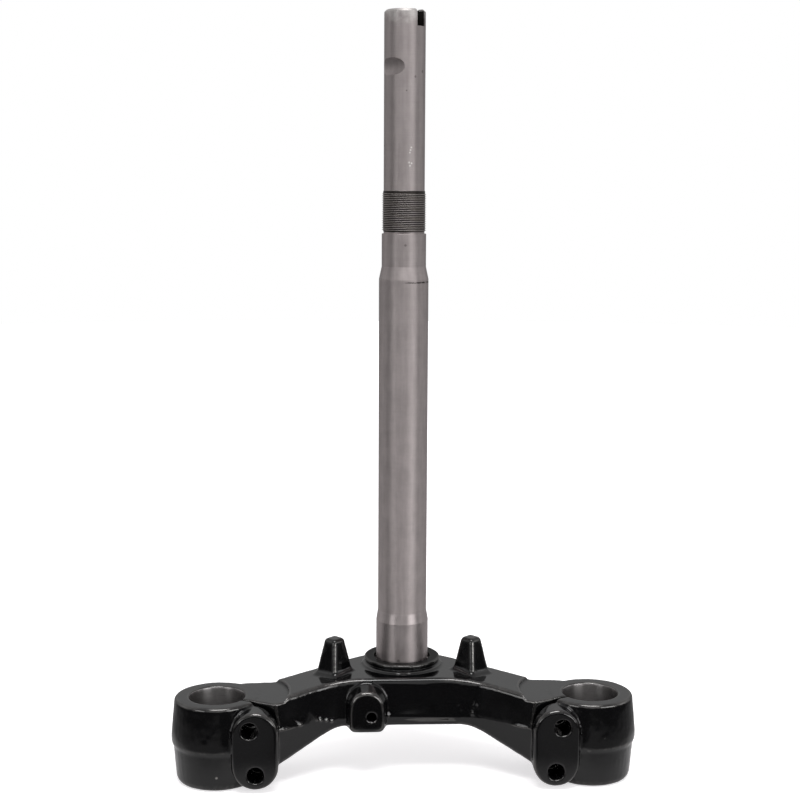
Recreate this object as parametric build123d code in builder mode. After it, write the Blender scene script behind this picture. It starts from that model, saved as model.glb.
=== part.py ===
"""Lower triple clamp of a scooter fork with its steering stem, in millimetres.

Z runs up the steering axis and the forks stand on the -Y side of it. The origin lies on the
steering axis, in the plane where the lower bearing race seats.
"""
import os
from math import atan, cos, degrees, radians, sin, tan

from build123d import *

# Fork clamps
FORK_DIA = 31.0            # fork tube held in each clamp
FORK_SPACING = 210.0       # between the two fork axes
FORK_OFFSET = 35.0         # fork axes ahead of the steering axis
CLAMP_HEIGHT = 47.8        # top face to foot
CLAMP_DROP = 11.7          # race seat down to the clamp's top face
CLAMP_WALL = 8.2           # wall at the clamp's top face
CLAMP_PARTING_DROP = 23.15  # top face to the clamp's parting line
CLAMP_DRAFT = 2.0          # the wall swells this much from the top face to the parting line
CLAMP_FOOT_STEP = 1.1      # the lower die half is this much smaller at the parting line
CLAMP_FOOT_DRAFT = 1.5     # and shrinks this much more down to the foot
CLAMP_BORE_CHAMFER = 0.5
CLAMP_RIM = 1.0
CLAMP_FOOT_EDGE = 3.0
LAND_UP = 2.4              # flash land above the clamp's parting line
LAND_DOWN = 1.6            # and below it
LAND_RUNOUT = 2.4          # height over which the land steps back to the lower half
SLIT_WIDTH = 2.0
SLIT_ANGLE = 27.0          # the slit runs inward and this much forward from the fork axis
SLIT_PAST = 4.0            # and ends this far inside the lug's inner side

# Pinch lugs
LUG_INSET = 22.0           # fork axis inward to the lug's middle
LUG_WIDTH = 25.6
LUG_TOP_GAP = 1.9          # lug's highest point below the clamp's top face
LUG_FOOT_GAP = 2.1         # lug's lowest point above the clamp's foot
LUG_REACH = 26.2           # fork axes forward to the lug's front face
LUG_DEPTH = 39.0           # front face to the back of the tapped half
LUG_EDGE = 1.3
BOLT_HOLE_DIA = 9.0        # clearance for an M8 pinch bolt
BOLT_DIA = 8.0             # thread behind the slit, cut to its full diameter
UPPER_BOLT_INSET = 18.9    # the upper bolt passes the fork tube closer, to lock in its notch
LOWER_BOLT_INSET = 22.2
UPPER_BOLT_DROP = 12.0     # clamp's top face down to the upper bolt
LOWER_BOLT_RISE = 10.5     # clamp's foot up to the lower bolt
BOLT_CHAMFER = 0.4

# Bridge
HUB_RADIUS = 29.0          # hub at the parting line
HUB_FRONT = 32.4           # steering axis forward to the front wall at the parting line
HUB_FLAT = 26.0            # half length of the level top
HUB_THICKNESS = 26.8
COLLAR_HEIGHT = 5.2        # race seat above the hub's level top
PARTING_DROP = 21.8        # level top down to the parting line
DRAFT_ANGLE = 8.0
BEND_INSET = 65.0          # fork axis inward to where the front wall turns forward
ARM_BACK_SWEEP = 30.8      # direction of the back wall
ARM_FALL = 6.0             # slope of the arm's top
ARCH_INSET = 68.0          # fork axis inward to the end of the level underside
ARM_FOOT_GAP = 7.5         # the arm's lowest face above the clamp's foot
ARCH_SLOPE = 26.0          # slope of the underside out to the clamps
BEND_RADIUS = 30.0         # front wall, where it turns forward
KNEE_RADIUS = 15.0         # back wall, where it meets the clamp
CROWN_RADIUS = 60.0        # top, where the arm starts to fall
ARCH_RADIUS = 30.0         # underside, where it starts to fall
ARCH_FOOT_RADIUS = 10.0
NOSE_INSET = 24.7          # fork axis inward to the end of the front wall, inside the lug
NOSE_REACH = 23.57         # fork axes forward to that end
BACK_INSET = 0.8           # back wall inside the clamp's widest line
TOP_EDGE = 2.6
LOW_EDGE = 1.2
SPOT_RADIUS = 40.0         # level ground around each clamp
SPOT_STEP = 0.3            # clamp's rim stands this proud of it

# Collar
COLLAR_DIA = 44.0
COLLAR_FOOT_DIA = 46.0
COLLAR_GROOVE_DEPTH = 1.5
COLLAR_FLANGE = 2.5
COLLAR_GROOVE_WIDTH = 1.2
COLLAR_LIP = 0.6

# Steering stops
STOP_X = 39.3
STOP_Y = -11.5
STOP_HEIGHT = 19.0         # above the hub's level top
STOP_FOOT = 15.2           # side of the square foot
STOP_TOP = 8.6
STOP_EDGE = 1.9
STOP_CROWN = 1.1
STOP_ROOT = 2.0            # eased foot where a stop grows out of the bridge

# Bracket boss on the front wall
BOSS_X = -21.2
BOSS_WIDTH = 19.2
BOSS_TOP_DROP = 4.8        # level top down to the boss's crown
BOSS_TALL = 23.0
BOSS_REACH = 7.2           # ahead of the front wall
BOSS_DRAFT = 13.0
BOSS_EDGE = 1.0
BOSS_CORNER = 3.2
BOSS_ROOT = 8.0            # into the wall behind
BOSS_CHAMFER = 0.6
BOSS_HOLE_DIA = 5.0        # core of an M6 thread
BOSS_HOLE_DEPTH = 14.0
BOSS_HOLE_SIDE = 2.6       # toward the hub from the boss's middle
BOSS_HOLE_UP = 8.7         # above the boss's lowest edge

# Steering stem
SEAT_DIA = 30.0            # lower bearing race
SEAT_LENGTH = 22.0
PRESS_DIA = 32.0           # pressed into the hub
RACE_RELIEF = 3.0          # race seat down to the top of the pressed length
RELIEF_DEPTH = 0.4
PRESS_LEAD = 0.8
LOWER_CONE = 5.5
COLUMN_DIA = 28.0
COLUMN_LENGTH = 191.5
UPPER_CONE = 7.0
JOURNAL_DIA = 25.0         # upper bearing race
JOURNAL_LENGTH = 18.5
THREAD_DIA = 24.8          # fine thread, shown by its crests
THREAD_LENGTH = 24.0
THREAD_UNDERCUT = 1.2
THREAD_LEAD = 0.9
SPIGOT_DIA = 23.0          # handlebar clamp
SPIGOT_LENGTH = 98.5
SPIGOT_CHAMFER = 1.4
STEM_WALL = 4.0
NOTCH_WIDTH = 6.5
NOTCH_DEPTH = 9.2
NOTCH_TURN = 50.0          # from straight ahead toward +X
GROOVE_DIA = 10.5
GROOVE_DEPTH = 3.3
GROOVE_DROP = 31.0         # stem's end down to the groove's axis
GROOVE_TURN = -45.0

# Weld between the stem's foot and the hub
WELD_WIDTH = 4.5
WELD_CROWN = 2.2
WELD_RISE = 1.4

NEAR = 0.01                # tolerance for picking edges by their place

# Levels and places that follow from the sizes above
clamp_top = -CLAMP_DROP
clamp_foot = clamp_top - CLAMP_HEIGHT
clamp_parting = clamp_top - CLAMP_PARTING_DROP
hub_top = -COLLAR_HEIGHT
hub_low = hub_top - HUB_THICKNESS
parting = hub_top - PARTING_DROP
fork_x = FORK_SPACING / 2
fork_r = FORK_DIA / 2
clamp_r = fork_r + CLAMP_WALL
arm_end = fork_x - fork_r / 2
arm_bend = fork_x - BEND_INSET
arch_half = fork_x - ARCH_INSET
lug_height = CLAMP_HEIGHT - LUG_TOP_GAP - LUG_FOOT_GAP
lug_middle = clamp_foot + LUG_FOOT_GAP + lug_height / 2
lug_front = -FORK_OFFSET - LUG_REACH
seat_top = SEAT_LENGTH
column_low = seat_top + LOWER_CONE
column_top = column_low + COLUMN_LENGTH
journal_low = column_top + UPPER_CONE
thread_low = journal_low + JOURNAL_LENGTH
spigot_low = thread_low + THREAD_LENGTH
stem_top = spigot_low + SPIGOT_LENGTH
stop_slope = (STOP_FOOT - STOP_TOP) / 2 / STOP_HEIGHT
stop_root = HUB_THICKNESS / 3
stop_side = STOP_FOOT + 2 * stop_root * stop_slope
sides = (-1, 1)
bolts = (
    (UPPER_BOLT_INSET, clamp_top - UPPER_BOLT_DROP),
    (LOWER_BOLT_INSET, clamp_foot + LOWER_BOLT_RISE),
)


# One steering stop, a four-sided horn with a ridge to the front, rooted below the bridge's top
with BuildPart() as stop_horn:
    with BuildSketch():
        Rectangle(stop_side, stop_side, rotation=45)
    extrude(amount=stop_root + STOP_HEIGHT, taper=degrees(atan(stop_slope)))
    fillet(stop_horn.edges().filter_by(lambda e: abs(e.tangent_at(0.5).Z) > 0.7), STOP_EDGE)
    chamfer(stop_horn.faces().sort_by(Axis.Z)[-1].edges(), STOP_CROWN)


with BuildPart() as lower_bracket:
    # Bridge: its plan drawn at the parting line, drafted up and down from there
    with BuildSketch(Plane.XY.offset(parting)) as plan:
        nose = (fork_x - NOSE_INSET, -FORK_OFFSET - NOSE_REACH)
        back_turn = radians(90 - ARM_BACK_SWEEP)
        touch = (HUB_RADIUS * cos(back_turn), HUB_RADIUS * sin(back_turn))
        back_y = -FORK_OFFSET + clamp_r + CLAMP_DRAFT - BACK_INSET
        back_x = touch[0] + (touch[1] - back_y) / tan(radians(ARM_BACK_SWEEP))
        with BuildLine():
            Polyline(
                (0, -HUB_FRONT),
                (arm_bend, -HUB_FRONT),
                nose,
                (arm_end, nose[1]),
                (arm_end, back_y),
                (back_x, back_y),
                touch,
            )
            RadiusArc(touch, (0, HUB_RADIUS), -HUB_RADIUS)
            mirror(about=Plane.YZ)
        make_face()
        bends = plan.vertices().filter_by(
            lambda v: abs(v.Y + HUB_FRONT) < NEAR and abs(abs(v.X) - arm_bend) < NEAR
        )
        fillet(bends, BEND_RADIUS)
        knees = plan.vertices().filter_by(
            lambda v: abs(v.Y - back_y) < NEAR and abs(abs(v.X) - back_x) < NEAR
        )
        fillet(knees, KNEE_RADIUS)
    extrude(amount=-parting, taper=DRAFT_ANGLE)
    extrude(plan.sketch, amount=parting - clamp_foot, dir=(0, 0, -1), taper=DRAFT_ANGLE)
    # seen from the front: level hub, arms ramping down to the clamps, arch underneath
    with BuildSketch(Plane.XZ) as front:
        ramp_end = hub_top - (fork_x - HUB_FLAT) * tan(radians(ARM_FALL))
        arch_foot = clamp_foot + ARM_FOOT_GAP
        arch_end = arch_half + (hub_low - arch_foot) / tan(radians(ARCH_SLOPE))
        with BuildLine():
            Polyline(
                (0, hub_top),
                (HUB_FLAT, hub_top),
                (fork_x, ramp_end),
                (fork_x, arch_foot),
                (arch_end, arch_foot),
                (arch_half, hub_low),
                (0, hub_low),
            )
            mirror(about=Plane.YZ)
        make_face()
        fillet(
            front.vertices().filter_by(lambda v: abs(v.Y - hub_top) < NEAR and abs(v.X) > NEAR),
            CROWN_RADIUS,
        )
        fillet(
            front.vertices().filter_by(lambda v: abs(v.Y - hub_low) < NEAR and abs(v.X) > NEAR),
            ARCH_RADIUS,
        )
        fillet(
            front.vertices().filter_by(
                lambda v: abs(v.Y - arch_foot) < NEAR and abs(abs(v.X) - arch_end) < NEAR
            ),
            ARCH_FOOT_RADIUS,
        )
    extrude(amount=FORK_SPACING, both=True, mode=Mode.INTERSECT)
    rims = lower_bracket.edges().filter_by(
        lambda e: abs(e.center().X) < arm_end - NEAR and abs(e.tangent_at(0.5).Y) < 0.9999
    )
    fillet(rims.filter_by(lambda e: e.center().Z > ramp_end - NEAR), TOP_EDGE)
    # level ground around each clamp, and the arm cut off where the slit will run
    slit_run = (LUG_INSET + LUG_WIDTH / 2 + SLIT_PAST) / cos(radians(SLIT_ANGLE))
    slit_end = (
        slit_run * cos(radians(SLIT_ANGLE)),
        FORK_OFFSET + slit_run * sin(radians(SLIT_ANGLE)),
    )
    for side in sides:
        with BuildSketch(Plane.XY.offset(clamp_top - SPOT_STEP)):
            with Locations((side * fork_x, -FORK_OFFSET)):
                Circle(SPOT_RADIUS)
        extrude(amount=CLAMP_DROP, mode=Mode.SUBTRACT)
        with BuildSketch(Plane.XY.offset(clamp_foot)):
            with BuildLine():
                Polyline(
                    (side * fork_x, -FORK_OFFSET),
                    (side * (fork_x - slit_end[0]), -slit_end[1]),
                    (side * (fork_x - slit_end[0]), 2 * lug_front),
                    (side * fork_x, 2 * lug_front),
                    close=True,
                )
            make_face()
        extrude(amount=CLAMP_HEIGHT + CLAMP_DROP, mode=Mode.SUBTRACT)
    chamfer(
        lower_bracket.edges().filter_by(
            lambda e: abs(e.center().X) < arm_end - NEAR
            and e.center().Z < hub_low + NEAR
            and abs(e.tangent_at(0.5).Y) < 0.9999
            and abs(e.tangent_at(0.5).Z) < 0.7
            and (e.center().Y > -FORK_OFFSET or abs(e.center().X) < fork_x - slit_end[0])
        ),
        LOW_EDGE,
    )
    # clamp barrels, swelling to their own parting line
    for side in sides:
        axis_foot = (side * fork_x, -FORK_OFFSET, 0)
        with BuildSketch(Plane(origin=axis_foot, x_dir=(1, 0, 0), z_dir=(0, -1, 0))) as barrel:
            swell = clamp_r + CLAMP_DRAFT
            foot_r = swell - CLAMP_FOOT_STEP - CLAMP_FOOT_DRAFT
            ease = CLAMP_FOOT_EDGE * (1 - cos(radians(45)))
            with BuildLine():
                Polyline(
                    (0, clamp_top),
                    (clamp_r, clamp_top),
                    (swell, clamp_parting + LAND_UP),
                    (swell, clamp_parting - LAND_DOWN),
                    (swell - CLAMP_FOOT_STEP, clamp_parting - LAND_DOWN - LAND_RUNOUT),
                    (foot_r, clamp_foot + CLAMP_FOOT_EDGE),
                    (foot_r - ease, clamp_foot + ease),
                    (foot_r - CLAMP_FOOT_EDGE, clamp_foot),
                    (0, clamp_foot),
                    close=True,
                )
            make_face()
            chamfer(barrel.vertices().group_by(Axis.Y)[-1].sort_by(Axis.X)[-1], CLAMP_RIM)
        revolve(axis=Axis(axis_foot, (0, 0, 1)))
    # pinch lugs
    for side in sides:
        with BuildSketch(Plane.XZ.offset(-lug_front)):
            with Locations((side * (fork_x - LUG_INSET), lug_middle)):
                SlotOverall(lug_height, LUG_WIDTH, rotation=90)
        extrude(amount=-LUG_DEPTH)
    fronts = lower_bracket.faces().filter_by(Axis.Y).group_by(Axis.Y)[0]
    chamfer(fronts.edges(), LUG_EDGE)
    # collar under the lower bearing race
    with BuildSketch(Plane.XZ) as collar:
        shoulder = -COLLAR_FLANGE - COLLAR_GROOVE_WIDTH
        with BuildLine():
            Polyline(
                (0, 0),
                (COLLAR_DIA / 2, 0),
                (COLLAR_DIA / 2, -COLLAR_FLANGE),
                (COLLAR_DIA / 2 - COLLAR_GROOVE_DEPTH, -COLLAR_FLANGE),
                (COLLAR_DIA / 2 - COLLAR_GROOVE_DEPTH, shoulder),
                (COLLAR_FOOT_DIA / 2, shoulder),
                (COLLAR_FOOT_DIA / 2, hub_top - COLLAR_LIP),
                (0, hub_top - COLLAR_LIP),
                close=True,
            )
        make_face()
        lips = collar.vertices().filter_by(
            lambda v: v.X > COLLAR_DIA / 2 - NEAR and v.Y > hub_top
        )
        chamfer(lips, COLLAR_LIP)
    revolve(axis=Axis.Z)
    # steering stops
    with Locations(*[(side * STOP_X, STOP_Y, hub_top - stop_root) for side in sides]):
        add(stop_horn.part)
    stop_feet = lower_bracket.edges().filter_by(
        lambda e: abs(abs(e.center().X) - STOP_X) < 0.75 * STOP_FOOT
        and abs(e.center().Y - STOP_Y) < 0.75 * STOP_FOOT
        and hub_top - stop_root / 2 < e.center().Z < hub_top + NEAR
        and e.length < 1.5 * STOP_FOOT
    )
    chamfer(stop_feet, STOP_ROOT)
    # bracket boss
    boss_front = HUB_FRONT + BOSS_REACH
    boss_crown = hub_top - BOSS_TOP_DROP
    with BuildSketch(Plane.XZ.offset(boss_front)) as boss:
        with Locations((BOSS_X, boss_crown - BOSS_WIDTH / 2)):
            Circle(BOSS_WIDTH / 2)
            Rectangle(BOSS_WIDTH, BOSS_TALL - BOSS_WIDTH / 2, align=(Align.CENTER, Align.MAX))
        fillet(boss.vertices().group_by(Axis.Y)[0], BOSS_CORNER)
    extrude(amount=BOSS_REACH + BOSS_ROOT, dir=(0, 1, 0), taper=-BOSS_DRAFT)
    pad = lower_bracket.faces().filter_by(Axis.Y).filter_by(
        lambda f: abs(f.center().Y + boss_front) < NEAR
    )
    chamfer(pad.edges(), BOSS_EDGE)
    # stem bore
    with BuildSketch(Plane.XY):
        Circle(PRESS_DIA / 2)
    extrude(amount=2 * hub_low, mode=Mode.SUBTRACT)
    # fork bores, slits and pinch bolt holes
    for side in sides:
        axis_foot = (side * fork_x, -FORK_OFFSET, 0)
        with BuildSketch(Plane(origin=axis_foot, x_dir=(1, 0, 0), z_dir=(0, -1, 0))) as bore:
            flare = fork_r + CLAMP_BORE_CHAMFER
            with BuildLine():
                Polyline(
                    (0, clamp_top),
                    (flare, clamp_top),
                    (fork_r, clamp_top - CLAMP_BORE_CHAMFER),
                    (fork_r, clamp_foot + CLAMP_BORE_CHAMFER),
                    (flare, clamp_foot),
                    (0, clamp_foot),
                    close=True,
                )
            make_face()
        revolve(axis=Axis(axis_foot, (0, 0, 1)), mode=Mode.SUBTRACT)
        heading = (-side * cos(radians(SLIT_ANGLE)), -sin(radians(SLIT_ANGLE)), 0)
        slit_plane = Plane(
            origin=(side * fork_x, -FORK_OFFSET, clamp_foot), x_dir=heading, z_dir=(0, 0, 1)
        )
        with BuildSketch(slit_plane):
            Rectangle(slit_run, SLIT_WIDTH, align=(Align.MIN, Align.CENTER))
        extrude(amount=CLAMP_HEIGHT + CLAMP_DROP, mode=Mode.SUBTRACT)
        for inset, level in bolts:
            spot = (side * (fork_x - inset), level)
            slit_y = (inset - BOLT_HOLE_DIA / 2) * tan(radians(SLIT_ANGLE))
            slit_y = slit_y + SLIT_WIDTH / 2 / cos(radians(SLIT_ANGLE))
            with BuildSketch(Plane.XZ.offset(-lug_front)):
                with Locations(spot):
                    Circle(BOLT_DIA / 2)
            extrude(amount=-LUG_DEPTH - BOLT_CHAMFER, mode=Mode.SUBTRACT)
            with BuildSketch(Plane.XZ.offset(-lug_front)):
                with Locations(spot):
                    Circle(BOLT_HOLE_DIA / 2)
            extrude(amount=slit_y - LUG_REACH, mode=Mode.SUBTRACT)
            with BuildSketch(Plane.XZ.offset(-lug_front)):
                with Locations(spot):
                    Circle(BOLT_HOLE_DIA / 2 + BOLT_CHAMFER)
            extrude(amount=-BOLT_CHAMFER, taper=45, mode=Mode.SUBTRACT)
    # tapped hole in the boss
    boss_hole = (BOSS_X + BOSS_HOLE_SIDE, boss_crown - BOSS_TALL + BOSS_HOLE_UP)
    with BuildSketch(Plane.XZ.offset(boss_front)):
        with Locations(boss_hole):
            Circle(BOSS_HOLE_DIA / 2)
    extrude(amount=-BOSS_HOLE_DEPTH, mode=Mode.SUBTRACT)
    with BuildSketch(Plane.XZ.offset(boss_front)):
        with Locations(boss_hole):
            Circle(BOSS_HOLE_DIA / 2 + BOSS_CHAMFER)
    extrude(amount=-BOSS_CHAMFER, taper=45, mode=Mode.SUBTRACT)


with BuildPart() as steering_stem:
    relief_r = SEAT_DIA / 2 - RELIEF_DEPTH
    bore_low = COLUMN_DIA / 2 - STEM_WALL
    bore_high = SPIGOT_DIA / 2 - STEM_WALL
    with BuildSketch(Plane.XZ):
        with BuildLine():
            Polyline(
                (bore_low, hub_low),
                (PRESS_DIA / 2 - PRESS_LEAD, hub_low),
                (PRESS_DIA / 2, hub_low + PRESS_LEAD),
                (PRESS_DIA / 2, -RACE_RELIEF),
                (relief_r, -RACE_RELIEF),
                (relief_r, 0),
                (SEAT_DIA / 2, 0),
                (SEAT_DIA / 2, seat_top),
                (COLUMN_DIA / 2, column_low),
                (COLUMN_DIA / 2, column_top),
                (JOURNAL_DIA / 2, journal_low),
                (JOURNAL_DIA / 2, thread_low),
                (SPIGOT_DIA / 2, thread_low),
                (SPIGOT_DIA / 2, thread_low + THREAD_UNDERCUT),
                (THREAD_DIA / 2, thread_low + THREAD_UNDERCUT),
                (THREAD_DIA / 2, spigot_low - THREAD_LEAD),
                (SPIGOT_DIA / 2, spigot_low),
                (SPIGOT_DIA / 2, stem_top - SPIGOT_CHAMFER),
                (SPIGOT_DIA / 2 - SPIGOT_CHAMFER, stem_top),
                (bore_high, stem_top),
                (bore_high, journal_low + STEM_WALL),
                (bore_low, column_top - STEM_WALL),
                close=True,
            )
        make_face()
    revolve(axis=Axis.Z)
    # key notch in the stem's end
    notch_out = (sin(radians(NOTCH_TURN)), -cos(radians(NOTCH_TURN)), 0)
    with BuildSketch(Plane(origin=(0, 0, stem_top), x_dir=notch_out, z_dir=(0, 0, 1))):
        Rectangle(SPIGOT_DIA, NOTCH_WIDTH, align=(Align.MIN, Align.CENTER))
    extrude(amount=-NOTCH_DEPTH, mode=Mode.SUBTRACT)
    # groove that the handlebar's clamp bolt passes through
    groove_out = Vector(sin(radians(GROOVE_TURN)), -cos(radians(GROOVE_TURN)), 0)
    groove_along = groove_out.cross(Vector(0, 0, 1))
    groove_mid = groove_out * (SPIGOT_DIA / 2 - GROOVE_DEPTH + GROOVE_DIA / 2)
    groove_mid = groove_mid + Vector(0, 0, stem_top - GROOVE_DROP)
    with BuildSketch(Plane(origin=groove_mid, x_dir=groove_out, z_dir=groove_along)):
        Circle(GROOVE_DIA / 2)
    extrude(amount=SPIGOT_DIA, both=True, mode=Mode.SUBTRACT)


with BuildPart() as weld_bead:
    with BuildSketch(Plane.XZ):
        with BuildLine():
            throat = PRESS_DIA / 2 - WELD_WIDTH / 2
            toe = PRESS_DIA / 2 + WELD_WIDTH / 2
            Polyline(
                (throat, hub_low),
                (toe, hub_low),
                (PRESS_DIA / 2 + WELD_CROWN / 2, hub_low - WELD_RISE),
                (PRESS_DIA / 2 - WELD_CROWN / 2, hub_low - WELD_RISE),
                close=True,
            )
        make_face()
    revolve(axis=Axis.Z)


lower_bracket.part.label = "lower_bracket"
steering_stem.part.label = "steering_stem"
weld_bead.part.label = "weld_bead"
os.makedirs("parts", exist_ok=True)
export_step(lower_bracket.part, "parts/lower_bracket.step")
export_step(steering_stem.part, "parts/steering_stem.step")
export_step(weld_bead.part, "parts/weld_bead.step")
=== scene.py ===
"""Looks of a lower triple clamp with its steering stem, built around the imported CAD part."""
from math import cos, pi, radians, sin, tau

import bmesh
import bpy
import numpy as np
from mathutils import Matrix, Vector, noise


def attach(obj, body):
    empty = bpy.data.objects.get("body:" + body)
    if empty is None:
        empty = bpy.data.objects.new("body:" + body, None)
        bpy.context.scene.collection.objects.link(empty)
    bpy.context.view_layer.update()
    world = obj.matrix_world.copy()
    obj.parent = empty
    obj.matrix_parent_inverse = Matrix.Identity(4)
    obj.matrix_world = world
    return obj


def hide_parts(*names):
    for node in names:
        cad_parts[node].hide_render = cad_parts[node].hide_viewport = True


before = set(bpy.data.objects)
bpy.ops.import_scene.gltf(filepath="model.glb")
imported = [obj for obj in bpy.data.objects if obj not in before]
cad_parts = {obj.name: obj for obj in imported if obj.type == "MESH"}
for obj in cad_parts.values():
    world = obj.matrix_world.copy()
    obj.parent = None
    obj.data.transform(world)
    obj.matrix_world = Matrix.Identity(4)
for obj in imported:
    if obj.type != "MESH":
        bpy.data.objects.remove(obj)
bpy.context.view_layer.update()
scene = bpy.context.scene
MM = 0.001

# Places in the shared frame, in millimetres
FORK_X = 105.0
FORK_Y = -35.0
FORK_R = 15.5
FLOOR = -59.5
HUB_LOW = -32.0
HUB_R = 16.0
LUG_FACE = -61.2
STOP_X = 39.3
BOSS_HOLE = (-18.6, -39.0, -24.3)
STEM_TOP = 367.0
SPIGOT_R = 11.5
SWAGE_SEAM = 217.6
NOTCH_TURN = 50.0
NOTCH_WIDE = 6.5
NOTCH_DEEP = 9.2
GROOVE_TURN = -45.0
GROOVE_R = 5.25
GROOVE_DEEP = 3.0
GROOVE_DROP = 31.0
THREAD_LOW = 245.7
THREAD_HIGH = 267.6
THREAD_CREST = 12.4
THREAD_ROOT = 11.78
THREAD_PITCH = 1.0


def add(tree, kind, inputs=None, **settings):
    """Adds a node, with its settings, and its inputs as values or as links."""
    node = tree.nodes.new(kind)
    for key, value in settings.items():
        setattr(node, key, value)
    for key, value in (inputs or {}).items():
        if isinstance(value, bpy.types.NodeSocket):
            tree.links.new(value, node.inputs[key])
        else:
            node.inputs[key].default_value = value
    return node


def material(name):
    made = bpy.data.materials.new(name)
    made.use_nodes = True
    made.node_tree.nodes.clear()
    return made, made.node_tree


def math(tree, operation, a, b=0.0, c=0.0, clamp=False):
    node = add(tree, "ShaderNodeMath", {0: a, 1: b, 2: c}, operation=operation, use_clamp=clamp)
    return node.outputs[0]


def times(tree, first, *others):
    for other in others:
        first = math(tree, "MULTIPLY", first, other)
    return first


def hypotenuse(tree, a, b):
    return math(tree, "SQRT", math(tree, "ADD", times(tree, a, a), times(tree, b, b)))


def length(tree, vector):
    return add(tree, "ShaderNodeVectorMath", {0: vector}, operation="LENGTH").outputs["Value"]


def ramp(tree, value, low, high, to_low=0.0, to_high=1.0):
    """A value eased from one range into another."""
    node = add(
        tree,
        "ShaderNodeMapRange",
        {"Value": value, "From Min": low, "From Max": high, "To Min": to_low, "To Max": to_high},
        interpolation_type="SMOOTHSTEP",
    )
    return node.outputs["Result"]


def blend(tree, factor, a, b):
    node = add(tree, "ShaderNodeMix", {0: factor, 6: a, 7: b}, data_type="RGBA")
    return node.outputs[2]


def mixed(tree, factor, a, b):
    return add(tree, "ShaderNodeMixShader", {0: factor, 1: a, 2: b}).outputs[0]


def grain(tree, place, scale, detail=3.0, rough=0.5):
    node = add(
        tree, "ShaderNodeTexNoise", {"Vector": place, "Scale": scale, "Detail": detail, "Roughness": rough}
    )
    return node.outputs["Fac"]


def stretched(tree, place, factors):
    node = add(tree, "ShaderNodeVectorMath", {0: place, 1: factors}, operation="MULTIPLY")
    return node.outputs[0]


def spot(tree, place, at, size, soft=0.5):
    """One where the place lies within a distance of a point, in millimetres."""
    node = add(
        tree, "ShaderNodeVectorMath", {0: place, 1: [v * MM for v in at]}, operation="DISTANCE"
    )
    return ramp(tree, node.outputs["Value"], size * MM, size * soft * MM)


def obj_place(tree):
    return add(tree, "ShaderNodeTexCoord").outputs["Object"]


def close(tree, shader):
    add(tree, "ShaderNodeOutputMaterial", {"Surface": shader})


def steel_shader(tree, colour, rough, normal=None):
    """Turned steel: its fine rings spread reflections along the axis."""
    axis = add(tree, "ShaderNodeCombineXYZ", {"Z": 1.0}).outputs[0]
    inputs = {"Base Color": colour, "Metallic": 1.0, "Roughness": rough, "Anisotropic": 0.7, "Tangent": axis}
    if normal is not None:
        inputs["Normal"] = normal
    return add(tree, "ShaderNodeBsdfPrincipled", inputs).outputs["BSDF"]


def bump(tree, height, distance, strength=1.0):
    node = add(
        tree, "ShaderNodeBump", {"Height": height, "Distance": distance * MM, "Strength": strength}
    )
    return node.outputs["Normal"]


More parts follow.
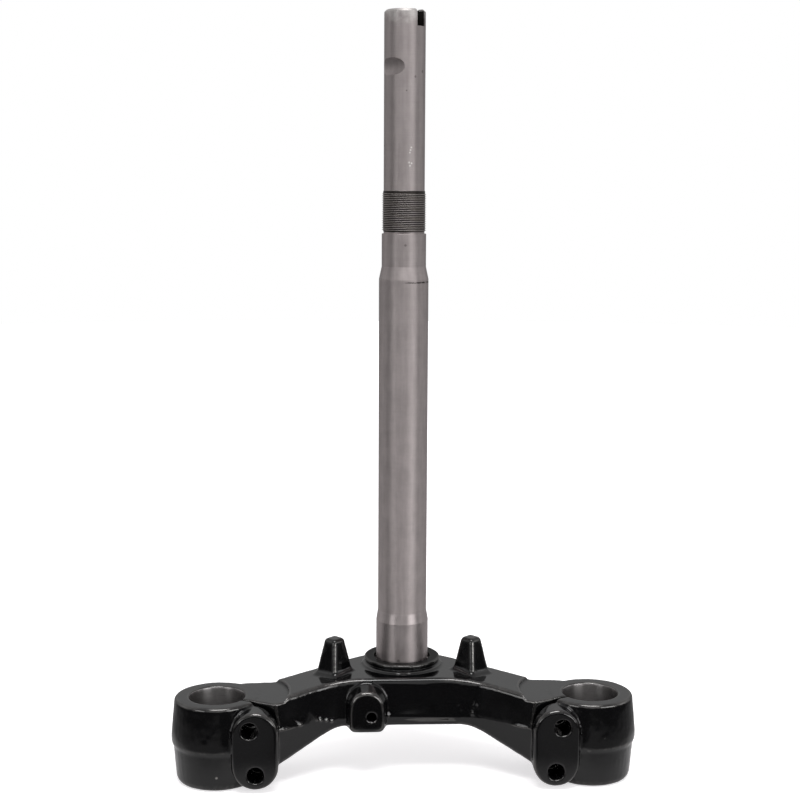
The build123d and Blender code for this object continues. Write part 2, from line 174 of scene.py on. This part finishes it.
def stem_material():
    made, tree = material("bare_steel")
    place = obj_place(tree)
    parts = add(tree, "ShaderNodeSeparateXYZ", {0: place})
    height = parts.outputs["Z"]
    radius = length(tree, stretched(tree, place, (1.0, 1.0, 0.0)))
    rings = grain(tree, stretched(tree, place, (1.0, 1.0, 60.0)), 60.0, 2.0)
    patches = grain(tree, place, 110.0, 5.0, 0.65)
    streaks = grain(tree, stretched(tree, place, (1.0, 1.0, 0.1)), 500.0, 3.0)
    tone = math(tree, "MULTIPLY_ADD", patches, 0.6, times(tree, streaks, 0.4))
    colour = blend(
        tree, ramp(tree, tone, 0.3, 0.7), (0.42, 0.377, 0.374, 1.0), (0.525, 0.473, 0.47, 1.0)
    )
    # painted shade: the colour is lighter towards the foot of the column and darker towards its upper end
    colour = stretched(tree, colour, ramp(tree, height, 0.03, 0.33, 1.10, 0.86))
    # the turns of the thread are coloured darker in their roots than on their crests
    turns = times(
        tree,
        ramp(tree, height, (THREAD_LOW - 0.4) * MM, THREAD_LOW * MM),
        ramp(tree, height, (THREAD_HIGH + 0.9) * MM, (THREAD_HIGH + 0.5) * MM),
    )
    crest = ramp(tree, radius, 0.0119, 0.0123)
    thread_tone = blend(tree, crest, (0.05, 0.045, 0.042, 1.0), (0.52, 0.48, 0.46, 1.0))
    colour = blend(tree, turns, colour, thread_tone)
    # nicks and the dark line where the column was swaged
    dark = 0.0
    for at, size in (
        ((5.4, -10.2, 330.4), 0.9),
        ((9.4, -6.6, 333.4), 1.1),
        ((0.5, -11.5, 322.8), 0.6),
        ((0.3, -12.5, 238.3), 0.9),
        ((-2.6, -14.8, 0.6), 1.1),
    ):
        dark = math(tree, "ADD", spot(tree, place, at, size), dark, clamp=True)
    seam = math(tree, "ABSOLUTE", math(tree, "SUBTRACT", height, SWAGE_SEAM * MM))
    seam = math(tree, "MULTIPLY_ADD", patches, -0.0012, math(tree, "ADD", seam, 0.0005))
    seam = times(
        tree,
        ramp(tree, seam, 0.0005, 0.0002),
        ramp(tree, parts.outputs["X"], -0.003, 0.006),
    )
    seam = times(tree, seam, ramp(tree, grain(tree, place, 700.0, 2.0), 0.38, 0.55, 0.25, 1.0))
    dark = math(tree, "MAXIMUM", times(tree, dark, 0.45), times(tree, seam, 0.95))
    colour = blend(tree, dark, colour, (0.06, 0.052, 0.05, 1.0))
    # scuffs, and the rubbed end under the handlebar clamp
    light = 0.0
    for at, size in (
        ((3.3, -11.0, 292.0), 0.8),
        ((2.9, -11.1, 290.6), 0.8),
        ((2.5, -11.2, 289.2), 0.7),
        ((2.1, -11.3, 283.8), 0.9),
        ((3.5, -10.9, 283.4), 0.8),
        ((2.6, -11.2, 282.0), 0.8),
    ):
        light = math(tree, "ADD", spot(tree, place, at, size, 0.1), light, clamp=True)
    rubbed = ramp(tree, math(tree, "MULTIPLY_ADD", patches, 0.02, height), 0.369, 0.376)
    light = math(tree, "MAXIMUM", light, times(tree, rubbed, 0.6))
    colour = blend(tree, light, colour, (0.74, 0.72, 0.70, 1.0))
    # painted shade: the insides of the notch and of the hollow column are coloured dark
    notch = times(
        tree,
        ramp(tree, radius, 0.0112, 0.0108),
        times(
            tree,
            math(tree, "GREATER_THAN", height, (STEM_TOP - NOTCH_DEEP - 0.3) * MM),
            math(tree, "LESS_THAN", height, (STEM_TOP - 1.0) * MM),
        ),
    )
    painted_hollow_shade = math(tree, "MAXIMUM", notch, ramp(tree, radius, 0.0080, 0.0077))
    wide = times(tree, ramp(tree, radius, 0.0108, 0.0104), math(tree, "LESS_THAN", height, 0.232))
    painted_hollow_shade = math(tree, "MAXIMUM", painted_hollow_shade, wide)
    colour = blend(tree, painted_hollow_shade, colour, (0.035, 0.03, 0.028, 1.0))
    rough = ramp(tree, math(tree, "ADD", rings, patches), 0.7, 1.3, 0.52, 0.60)
    # the bearing seat is ground, and smoother than the rest
    rough = times(tree, rough, ramp(tree, height, 0.0265, 0.0285, 0.75, 1.0))
    close(tree, steel_shader(tree, colour, rough, bump(tree, rings, 0.012, 0.4)))
    return made


def paint_material(name, with_bores):
    made, tree = material(name)
    place = obj_place(tree)
    cloud = grain(tree, place, 70.0, 4.0, 0.6)
    skin = grain(tree, place, 420.0, 3.0, 0.55)
    parts = add(tree, "ShaderNodeSeparateXYZ", {0: place})
    aside = math(tree, "ABSOLUTE", parts.outputs["X"])
    height = parts.outputs["Z"]
    # the front ridges of the stops are duller, with one fine bright line painted down each as a highlight
    front = times(tree, ramp(tree, height, -0.0045, -0.0032), ramp(tree, height, 0.0122, 0.0108))
    front = times(tree, front, math(tree, "LESS_THAN", parts.outputs["Y"], -0.0125))
    off = math(tree, "ABSOLUTE", math(tree, "SUBTRACT", aside, STOP_X * MM))
    dull = times(tree, front, ramp(tree, off, 0.0024, 0.0014))
    rough = ramp(tree, cloud, 0.3, 0.7, 0.07, 0.15)
    paint = add(
        tree,
        "ShaderNodeBsdfPrincipled",
        {
            "Base Color": (0.002, 0.002, 0.0023, 1.0),
            "Roughness": math(tree, "MULTIPLY_ADD", dull, 0.22, rough),
            "IOR": 1.5,
            "Normal": bump(tree, skin, 0.05, 0.35),
        },
    ).outputs["BSDF"]
    # edges where the paint is thin and rubbed, made brighter than the wear alone as a painted sheen for edge
    # highlights
    sharp = add(tree, "ShaderNodeNewGeometry").outputs["Pointiness"]
    bridge = ramp(tree, aside, 0.080, 0.074)
    wear_and_sheen = math(
        tree, "MAXIMUM", ramp(tree, cloud, 0.35, 0.6, 0.4, 1.0), times(tree, bridge, 0.75)
    )
    edge = times(tree, ramp(tree, sharp, 0.5052, 0.517), wear_and_sheen)
    # not around the bolt holes in the front faces, and hardly on the stops
    edge = times(tree, edge, ramp(tree, parts.outputs["Y"], LUG_FACE * MM, (LUG_FACE + 0.6) * MM))
    boss_hole = spot(tree, place, BOSS_HOLE, 4.5, 0.8)
    edge = times(tree, edge, math(tree, "SUBTRACT", 1.0, boss_hole))
    stops = times(tree, ramp(tree, aside, 0.025, 0.027), ramp(tree, height, -0.0045, -0.003))
    edge = times(tree, edge, math(tree, "MULTIPLY_ADD", stops, -0.85, 1.0))
    edge = times(tree, edge, math(tree, "MULTIPLY_ADD", bridge, 0.04, 0.28))
    # painted highlight: a fine bright line down the front ridge of each stop
    for foot, top in ((-39.1, -39.0), (40.2, 39.8)):
        lean = (top - foot) / 15.0
        middle = math(tree, "MULTIPLY_ADD", height, lean, (foot + 3.5 * lean) * MM)
        off = math(tree, "ABSOLUTE", math(tree, "SUBTRACT", parts.outputs["X"], middle))
        glint_line = times(tree, front, ramp(tree, off, 0.0006, 0.0002))
        edge = math(tree, "MAXIMUM", edge, times(tree, glint_line, 0.6))
    thin = add(
        tree,
        "ShaderNodeBsdfPrincipled",
        {"Base Color": (0.30, 0.29, 0.28, 1.0), "Metallic": 1.0, "Roughness": 0.27},
    ).outputs["BSDF"]
    paint = mixed(tree, edge, paint, thin)
    if not with_bores:
        close(tree, paint)
        return made
    # chips that show the metal under the paint
    chips = 0.0
    for at, size in (
        ((-104.1, -58.8, -51.0), 1.0),
        ((109.4, -59.4, -30.3), 0.9),
        ((96.3, -58.2, -15.6), 0.9),
        ((-20.0, -38.9, -27.0), 0.8),
        ((-18.6, -38.9, -27.8), 0.9),
        ((-16.6, -38.9, -27.0), 0.9),
        ((-13.4, -38.9, -28.1), 0.8),
    ):
        chips = math(tree, "ADD", spot(tree, place, at, size), chips, clamp=True)
    paint = mixed(tree, times(tree, chips, 0.8), paint, thin)
    # painted shade: the collar under the bearing and the corner above the boss become a dark matte surface
    # that darkens their reflections
    hub = hypotenuse(tree, aside, parts.outputs["Y"])
    painted_shade_mask = times(tree, ramp(tree, hub, 0.0222, 0.0205), ramp(tree, height, -0.0045, -0.003))
    painted_shade_mask = math(tree, "MAXIMUM", painted_shade_mask, spot(tree, place, (-18.6, -34.5, -14.0), 6.0))
    painted_shade = add(tree, "ShaderNodeBsdfDiffuse", {"Color": (0.006, 0.006, 0.006, 1.0)}).outputs[0]
    paint = mixed(tree, times(tree, painted_shade_mask, 0.7), paint, painted_shade)
    # the fork bores are bare metal
    across = math(tree, "SUBTRACT", aside, FORK_X * MM)
    along = math(tree, "SUBTRACT", parts.outputs["Y"], FORK_Y * MM)
    reach = hypotenuse(tree, across, along)
    bare = math(tree, "LESS_THAN", reach, (FORK_R + 0.25) * MM)
    streaks = grain(tree, stretched(tree, place, (1.0, 1.0, 20.0)), 160.0, 3.0)
    steel = steel_shader(
        tree,
        blend(tree, streaks, (0.22, 0.212, 0.21, 1.0), (0.37, 0.357, 0.355, 1.0)),
        0.36,
    )
    close(tree, mixed(tree, bare, paint, steel))
    return made


STEEL = stem_material()
PAINT = paint_material("black_paint", True)
WELD_PAINT = paint_material("weld_paint", False)


def new_object(name, mesh):
    made = bpy.data.objects.new(name, mesh)
    scene.collection.objects.link(made)
    return made


def baked(thing):
    """The mesh of an object with its modifiers in it."""
    graph = bpy.context.evaluated_depsgraph_get()
    graph.update()
    return bpy.data.meshes.new_from_object(thing.evaluated_get(graph))


def finish_piece(name, mesh, finish, node):
    mesh.name = name
    mesh.materials.clear()
    mesh.materials.append(finish)
    piece = new_object(name, mesh)
    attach(piece, "root")
    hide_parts(node)
    return piece


def ring_faces(turns, count):
    """Quads that join each turn of a closed outline to the next."""
    faces = []
    for k in range(turns):
        here, there = k * count, (k + 1) % turns * count
        for j in range(count):
            n = (j + 1) % count
            faces.append((here + j, there + j, there + n, here + n))
    return faces


def lathe(profile, turns):
    """A closed ring of a closed outline of radius and height, in millimetres."""
    verts = [
        (r * sin(tau * k / turns) * MM, -r * cos(tau * k / turns) * MM, z * MM)
        for k in range(turns)
        for r, z in profile
    ]
    mesh = bpy.data.meshes.new("lathe")
    mesh.from_pydata(verts, [], ring_faces(turns, len(profile)))
    return mesh


def outward(mesh):
    work = bmesh.new()
    work.from_mesh(mesh)
    bmesh.ops.recalc_face_normals(work, faces=work.faces)
    if work.calc_volume(signed=True) < 0:
        bmesh.ops.reverse_faces(work, faces=work.faces)
    work.to_mesh(mesh)
    work.free()


def smooth_to(mesh, angle):
    """Smooth shading with a hard edge where two faces meet at more than an angle."""
    work = bmesh.new()
    work.from_mesh(mesh)
    for face in work.faces:
        face.smooth = True
    for edge in work.edges:
        edge.smooth = len(edge.link_faces) != 2 or edge.calc_face_angle(0.0) < radians(angle)
    work.to_mesh(mesh)
    work.free()


# Beads of metal and paint on the front wall: place, half width, half height and rise, in millimetres
BEADS = (
    (-66.0, -26.8, 4.0, 0.6, 0.35),
    (-58.4, -26.4, 1.3, 0.9, 0.45),
    (-51.7, -24.6, 1.2, 0.8, 0.5),
    (-49.4, -25.6, 0.9, 0.9, 0.45),
    (-47.2, -26.4, 1.0, 0.8, 0.5),
    (-44.0, -27.3, 1.1, 0.8, 0.4),
    (-41.0, -28.2, 1.2, 0.8, 0.5),
    (-9.0, -25.7, 0.8, 1.3, 0.5),
    (-0.4, -26.1, 1.6, 1.0, 0.4),
    (12.6, -22.1, 3.0, 0.7, 0.35),
    (22.2, -20.4, 1.3, 1.0, 0.4),
    (31.3, -22.3, 1.6, 0.8, 0.4),
    (38.7, -24.7, 2.0, 1.0, 0.35),
    (40.3, -20.6, 1.4, 0.9, 0.4),
    (64.5, -27.3, 4.0, 0.6, 0.35),
)


def build_bracket():
    """The forging: the CAD solid with its edges and valleys softened into one painted skin."""
    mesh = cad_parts["lower_bracket"].data.copy()
    work = bmesh.new()
    work.from_mesh(mesh)
    bmesh.ops.remove_doubles(work, verts=work.verts, dist=2e-6)
    work.to_mesh(mesh)
    work.free()
    raw = new_object("raw_bracket", mesh)
    soften = raw.modifiers.new("remesh", "REMESH")
    soften.mode = "VOXEL"
    soften.voxel_size = 0.6 * MM
    ease = raw.modifiers.new("smooth", "SMOOTH")
    ease.factor = 0.5
    ease.iterations = 7
    thin = raw.modifiers.new("thin", "DECIMATE")
    thin.ratio = 0.4
    relax = raw.modifiers.new("relax", "SMOOTH")
    relax.factor = 0.5
    relax.iterations = 3
    skin = baked(raw)
    bpy.data.objects.remove(raw)
    count = len(skin.vertices)
    places = np.empty(count * 3)
    normals = np.empty(count * 3)
    skin.vertices.foreach_get("co", places)
    skin.vertex_normals.foreach_get("vector", normals)
    places = places.reshape(-1, 3)
    normals = normals.reshape(-1, 3)
    aside = np.abs(places[:, 0]) - FORK_X * MM
    along = places[:, 1] - FORK_Y * MM
    bore_gap = np.hypot(aside, along) - FORK_R * MM
    hub_gap = np.hypot(places[:, 0], places[:, 1]) - 24.0 * MM
    machined = np.minimum(bore_gap, hub_gap) / (4.0 * MM)
    forged = np.clip(machined, 0.0, 1.0) * (normals[:, 2] > -0.95)
    lumps = np.array([noise.noise(Vector(p) * 150.0) + 0.5 * noise.noise(Vector(p) * 420.0) for p in places])
    rise = forged * lumps * 0.10
    front = normals[:, 1] < -0.4
    for x, z, wide, tall, high in BEADS:
        far = ((places[:, 0] / MM - x) / wide) ** 2 + ((places[:, 2] / MM - z) / tall) ** 2
        rise = rise + 1.5 * high * np.exp(-far) * front
    places = places + normals * (rise * MM)[:, None]
    skin.vertices.foreach_set("co", places.ravel())
    skin.update()
    skin.polygons.foreach_set("use_smooth", [True] * len(skin.polygons))
    return finish_piece("bracket_skin", skin, PAINT, "lower_bracket")


STEM_OUTLINE = (
    (10.0, HUB_LOW),
    (15.2, HUB_LOW),
    (HUB_R, HUB_LOW + 0.8),
    (HUB_R, -3.0),
    (14.6, -3.0),
    (14.6, 0.0),
    (15.0, 0.0),
    (15.0, 21.8),
    (14.94, 22.2),
    (14.06, 27.3),
    (14.0, 27.8),
    (14.0, 218.8),
    (13.94, 219.3),
    (12.56, 225.8),
    (12.5, 226.2),
    (12.5, 244.3),
    (12.3, 244.5),
    (11.5, 244.5),
    (11.5, THREAD_LOW),
    (THREAD_ROOT, THREAD_LOW + 0.2),
    (THREAD_ROOT, THREAD_HIGH + 0.3),
    (SPIGOT_R, 268.5),
    (SPIGOT_R, 365.6),
    (11.35, 365.9),
    (10.3, 366.9),
    (10.1, STEM_TOP),
    (7.6, STEM_TOP),
    (7.5, 366.9),
    (7.5, 230.0),
    (10.0, 215.0),
)


def cutter(mesh, thing):
    outward(mesh)
    tool = new_object("cutter", mesh)
    cut = thing.modifiers.new("cut", "BOOLEAN")
    cut.operation = "DIFFERENCE"
    cut.solver = "EXACT"
    cut.object = tool
    return tool


def build_stem():
    mesh = lathe(STEM_OUTLINE, 144)
    outward(mesh)
    raw = new_object("raw_stem", mesh)
    turn = radians(NOTCH_TURN)
    notch = bmesh.new()
    bmesh.ops.create_cube(notch, size=1.0)
    out = Vector((sin(turn), -cos(turn), 0.0))
    across = Vector((cos(turn), sin(turn), 0.0))
    sides = (out * 12.0 * MM, across * NOTCH_WIDE * MM, Vector((0, 0, 20.0 * MM)))
    stand = Matrix(sides).transposed().to_4x4()
    stand.translation = out * 10.0 * MM + Vector((0, 0, (STEM_TOP - NOTCH_DEEP + 10.0) * MM))
    notch.transform(stand)
    notch_mesh = bpy.data.meshes.new("notch")
    notch.to_mesh(notch_mesh)
    notch.free()
    turn = radians(GROOVE_TURN)
    groove = bmesh.new()
    bmesh.ops.create_cone(
        groove, cap_ends=True, segments=120, radius1=GROOVE_R * MM, radius2=GROOVE_R * MM, depth=40.0 * MM
    )
    out = Vector((sin(turn), -cos(turn), 0.0))
    lie = Vector((0, 0, 1)).rotation_difference(out.cross(Vector((0, 0, 1)))).to_matrix().to_4x4()
    away = SPIGOT_R - GROOVE_DEEP + GROOVE_R
    lie.translation = out * away * MM + Vector((0, 0, (STEM_TOP - GROOVE_DROP) * MM))
    groove.transform(lie)
    groove_mesh = bpy.data.meshes.new("groove")
    groove.to_mesh(groove_mesh)
    groove.free()
    tools = [cutter(notch_mesh, raw), cutter(groove_mesh, raw)]
    skin = baked(raw)
    for thing in tools + [raw]:
        bpy.data.objects.remove(thing)
    smooth_to(skin, 5.0)
    return finish_piece("stem_skin", skin, STEEL, "steering_stem")


def build_thread():
    """The turns of the fine thread: one ridge swept along a helix on the root cylinder."""
    tree = bpy.data.node_groups.new("thread_turns", "GeometryNodeTree")
    inputs = {}
    for label, value in (
        ("Turns", (THREAD_HIGH - THREAD_LOW) / THREAD_PITCH - 1.0),
        ("Pitch", THREAD_PITCH * MM),
        ("Root Radius", THREAD_ROOT * MM),
        ("Depth", (THREAD_CREST - THREAD_ROOT) * MM),
        ("Start", (THREAD_LOW + 0.5 * THREAD_PITCH) * MM),
    ):
        socket = tree.interface.new_socket(label, in_out="INPUT", socket_type="NodeSocketFloat")
        inputs[socket.identifier] = value
    tree.interface.new_socket("Geometry", in_out="OUTPUT", socket_type="NodeSocketGeometry")
    given = tree.nodes.new("NodeGroupInput").outputs
    rise = times(tree, given["Turns"], given["Pitch"])
    helix = add(
        tree,
        "GeometryNodeCurveSpiral",
        {
            "Resolution": 120,
            "Rotations": given["Turns"],
            "Start Radius": given["Root Radius"],
            "End Radius": given["Root Radius"],
            "Height": rise,
        },
    )
    upright = add(tree, "GeometryNodeSetCurveNormal", {"Curve": helix.outputs["Curve"]}, mode="Z_UP")
    ridge = add(
        tree,
        "GeometryNodeCurvePrimitiveQuadrilateral",
        {
            "Bottom Width": times(tree, given["Pitch"], 0.92),
            "Top Width": times(tree, given["Pitch"], 0.14),
            "Height": times(tree, given["Depth"], 2.0),
            "Offset": 0.0,
        },
        mode="TRAPEZOID",
    )
    stand = add(
        tree, "GeometryNodeTransform", {"Geometry": ridge.outputs["Curve"], "Rotation": (0.0, 0.0, pi / 2)}
    )
    swept = add(
        tree,
        "GeometryNodeCurveToMesh",
        {"Curve": upright.outputs["Curve"], "Profile Curve": stand.outputs["Geometry"], "Fill Caps": True},
    )
    lift = add(tree, "ShaderNodeCombineXYZ", {"Z": given["Start"]})
    moved = add(
        tree, "GeometryNodeTransform", {"Geometry": swept.outputs["Mesh"], "Translation": lift.outputs[0]}
    )
    real = add(tree, "GeometryNodeRealizeInstances", {"Geometry": moved.outputs["Geometry"]})
    dressed = add(
        tree, "GeometryNodeSetMaterial", {"Geometry": real.outputs["Geometry"], "Material": STEEL}
    )
    add(tree, "NodeGroupOutput", {"Geometry": dressed.outputs["Geometry"]})
    raw = new_object("raw_thread", bpy.data.meshes.new("raw_thread"))
    nodes = raw.modifiers.new("thread", "NODES")
    nodes.node_group = tree
    for key, value in inputs.items():
        nodes[key] = value
    skin = baked(raw)
    raw.modifiers.clear()
    bpy.data.objects.remove(raw)
    outward(skin)
    smooth_to(skin, 20.0)
    skin.name = "stem_thread"
    skin.materials.clear()
    skin.materials.append(STEEL)
    piece = new_object("stem_thread", skin)
    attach(piece, "root")
    return piece


def build_weld():
    """The weld bead under the hub, with the ripples of its run."""
    turns = 240
    outline = []
    for k in range(13):
        a = pi * k / 12
        outline.append((-cos(a), -sin(a)))
    verts = []
    for k in range(turns):
        a = tau * k / turns
        ripple = 1.0 - 0.16 * abs(sin(a * 26))
        for across, down in outline:
            r = HUB_R + 2.25 * across
            z = HUB_LOW + 1.4 * ripple * down
            verts.append((r * sin(a) * MM, -r * cos(a) * MM, z * MM))
    mesh = bpy.data.meshes.new("weld")
    mesh.from_pydata(verts, [], ring_faces(turns, len(outline)))
    outward(mesh)
    smooth_to(mesh, 40.0)
    return finish_piece("weld_skin", mesh, WELD_PAINT, "weld_bead")


build_bracket()
build_stem()
build_thread()
build_weld()


def build_camera():
    yaw, pitch, roll = radians(2.607), radians(7.982), radians(0.277)
    ahead = Vector((sin(yaw), cos(yaw), 0.0))
    right = Vector((cos(yaw), -sin(yaw), 0.0))
    up = Vector((0.0, 0.0, 1.0))
    view = ahead * cos(pitch) - up * sin(pitch)
    lift = ahead * sin(pitch) + up * cos(pitch)
    x = right * cos(roll) + lift * sin(roll)
    y = lift * cos(roll) - right * sin(roll)
    lens = bpy.data.cameras.new("camera")
    lens.sensor_width = 36.0
    lens.lens = 1525.0 * 36.0 / 800.0
    lens.clip_start = 0.01
    lens.clip_end = 50.0
    eye = bpy.data.objects.new("camera", lens)
    eye.matrix_world = Matrix((x, y, -view)).transposed().to_4x4()
    eye.location = (-0.04098, -0.86103, 0.27086)
    scene.collection.objects.link(eye)
    scene.camera = eye


def panel(name, at, size, power):
    """A soft white box that faces the part."""
    lamp = bpy.data.lights.new(name, "AREA")
    lamp.shape = "RECTANGLE"
    lamp.size, lamp.size_y = size
    lamp.energy = power
    made = bpy.data.objects.new(name, lamp)
    made.location = at
    made.rotation_euler = (Vector((0.0, -0.02, 0.05)) - Vector(at)).to_track_quat("-Z", "Y").to_euler()
    made.visible_camera = False
    scene.collection.objects.link(made)


def level_disc(name, radius, height, finish):
    """A round level sheet, at a height in millimetres."""
    disc = bmesh.new()
    bmesh.ops.create_circle(disc, cap_ends=True, segments=96, radius=radius)
    mesh = bpy.data.meshes.new(name)
    disc.to_mesh(mesh)
    disc.free()
    mesh.transform(Matrix.Translation((0.0, 0.0, height * MM)))
    mesh.materials.append(finish)
    return new_object(name, mesh)


def build_studio():
    world = bpy.data.worlds.new("world")
    scene.world = world
    world.use_nodes = True
    world.node_tree.nodes.clear()
    sky = add(world.node_tree, "ShaderNodeBackground", {"Color": (1.0, 1.0, 1.0, 1.0), "Strength": 1.0})
    add(world.node_tree, "ShaderNodeOutputWorld", {"Surface": sky.outputs[0]})

    made, tree = material("tent")
    way = add(tree, "ShaderNodeVectorMath", {0: obj_place(tree)}, operation="NORMALIZE").outputs[0]
    parts = add(tree, "ShaderNodeSeparateXYZ", {0: way})
    back = ramp(tree, parts.outputs["Y"], -0.4, 0.2, 0.03, 0.30)
    top = ramp(tree, parts.outputs["Z"], 0.06, 0.5, 0.0, 0.30)
    sides = times(
        tree,
        ramp(tree, math(tree, "ABSOLUTE", parts.outputs["X"]), 0.72, 0.95),
        ramp(tree, parts.outputs["Y"], -0.35, -0.05, 0.0, 0.40),
    )
    sides = times(tree, sides, ramp(tree, parts.outputs["Z"], 0.0, 0.15))
    level = math(tree, "ADD", math(tree, "ADD", back, top), sides)
    glow = add(tree, "ShaderNodeEmission", {"Color": (1.0, 1.0, 1.0, 1.0), "Strength": level})
    close(tree, glow.outputs[0])
    ball = bmesh.new()
    bmesh.ops.create_icosphere(ball, subdivisions=4, radius=3.0)
    mesh = bpy.data.meshes.new("tent")
    ball.to_mesh(mesh)
    ball.free()
    mesh.materials.append(made)
    tent = new_object("tent", mesh)
    tent.visible_camera = False

    made, tree = material("floor")
    diffuse = add(tree, "ShaderNodeBsdfDiffuse", {"Color": (0.82, 0.81, 0.81, 1.0)})
    rays = add(tree, "ShaderNodeLightPath")
    away = length(tree, obj_place(tree))
    far = ramp(tree, away, 0.12, 0.7, 0.62, 1.0)
    seen = math(tree, "ADD", rays.outputs["Is Camera Ray"], rays.outputs["Is Glossy Ray"], clamp=True)
    seen = math(tree, "ADD", seen, rays.outputs["Is Transmission Ray"], clamp=True)
    lift = add(
        tree,
        "ShaderNodeEmission",
        {"Color": (1.0, 0.985, 1.0, 1.0), "Strength": times(tree, seen, far)},
    )
    both = add(tree, "ShaderNodeAddShader", {0: diffuse.outputs[0], 1: lift.outputs[0]})
    close(tree, both.outputs[0])
    floor = level_disc("floor", 2.9, FLOOR, made)

    # a thin dark cloth over the floor: only reflections show it, so that black stays black
    made, tree = material("cloth")
    place = obj_place(tree)
    near = stretched(tree, place, (1.0 / 0.20, 1.0 / 0.085, 0.0))
    near = add(tree, "ShaderNodeVectorMath", {0: near, 1: (0.0, 0.18, 0.0)}, operation="ADD").outputs[0]
    near = length(tree, near)
    parts = add(tree, "ShaderNodeSeparateXYZ", {0: place})
    aside = math(tree, "ABSOLUTE", parts.outputs["X"])
    away = length(tree, place)
    hold = ramp(tree, aside, 0.05, 0.09, 0.985, 0.84)
    ahead = ramp(tree, away, 0.24, 0.36)
    hold = math(tree, "MULTIPLY_ADD", math(tree, "SUBTRACT", 0.985, hold), ahead, hold)
    cover = times(tree, ramp(tree, near, 0.75, 1.25, 0.55, 1.0), hold)
    cover = times(tree, cover, ramp(tree, parts.outputs["Y"], 0.02, 0.2, 1.0, 0.8))
    clear = add(tree, "ShaderNodeBsdfTransparent").outputs[0]
    black = add(tree, "ShaderNodeBsdfDiffuse", {"Color": (0.02, 0.02, 0.02, 1.0)}).outputs[0]
    close(tree, mixed(tree, cover, clear, black))
    cloth = level_disc("cloth", 2.8, FLOOR + 0.4, made)
    cloth.visible_camera = False
    cloth.visible_diffuse = False
    cloth.visible_transmission = False
    cloth.visible_shadow = False

    panel("right_box", (0.92, -1.02, 0.38), (0.84, 0.5), 5.8)
    panel("left_box", (-1.02, -0.98, 0.38), (0.6, 0.5), 2.8)
    panel("side_box", (1.5, -0.12, 0.38), (0.5, 0.5), 0.7)
    panel("front_box", (-0.1, -1.5, 0.5), (1.2, 0.7), 1.7)
    panel("top_box", (0.0, -0.58, 1.5), (0.9, 0.45), 12.0)


build_camera()
build_studio()
scene.view_settings.view_transform = "Standard"
